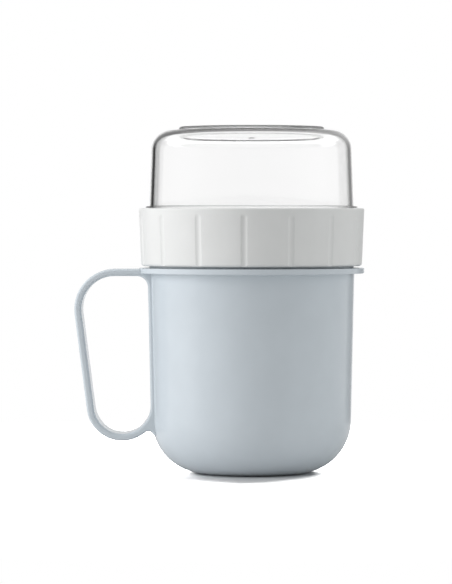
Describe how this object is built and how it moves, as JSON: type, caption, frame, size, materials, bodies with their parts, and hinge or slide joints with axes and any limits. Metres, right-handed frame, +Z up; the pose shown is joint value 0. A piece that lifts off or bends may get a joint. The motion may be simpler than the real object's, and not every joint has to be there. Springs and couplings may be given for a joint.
{
  "type": "to-go cup",
  "caption": "To-go cup: a round-based mug with a moulded loop handle, a double-sided screw lid with a partition and grip grooves, and a clear upper cup screwed in as a dome.",
  "frame": {"origin": "centre of the mug's flat base, on the cup's axis", "axes": "+Z up along the cup's axis, which the lid and the dome turn about; the handle points along -X; Y across the handle"},
  "size_m": [0.1336, 0.1042, 0.1598],
  "materials": {
    "mug_plastic": "satin moulded polypropylene, pale blue-grey",
    "lid_plastic": "satin moulded polypropylene, white",
    "seal_silicone": "matt silicone, pale translucent grey",
    "dome_clear": "clear polished plastic"
  },
  "bodies": {
    "mug": {"mug": "mug_plastic"},
    "lid_seal": {"lid_seal": "seal_silicone"},
    "lid": {"lid": "lid_plastic"},
    "dome_seal": {"dome_seal": "seal_silicone"},
    "dome": {"dome": "dome_clear"}
  },
  "joints": [
    {"name": "lid_lift", "type": "slide", "parent": "mug", "child": "lid_seal", "axis": [0, 0, 1], "range_m": [0, 0.015]},
    {"name": "lid_turn", "type": "hinge", "parent": "lid_seal", "child": "lid", "pos_m": [0, 0, 0.1077], "axis": [0, 0, 1], "range_deg": [0, 450]},
    {"name": "dome_lift", "type": "slide", "parent": "lid", "child": "dome_seal", "axis": [0, 0, 1], "range_m": [0, 0.015]},
    {"name": "dome_turn", "type": "hinge", "parent": "dome_seal", "child": "dome", "pos_m": [0, 0, 0.1121], "axis": [0, 0, 1], "range_deg": [0, 450]}
  ],
  "couplings": [
    {"joint": "lid_lift", "follows": "lid_turn", "m_per_rad": 0.0019099},
    {"joint": "dome_lift", "follows": "dome_turn", "m_per_rad": 0.0019099}
  ]
}
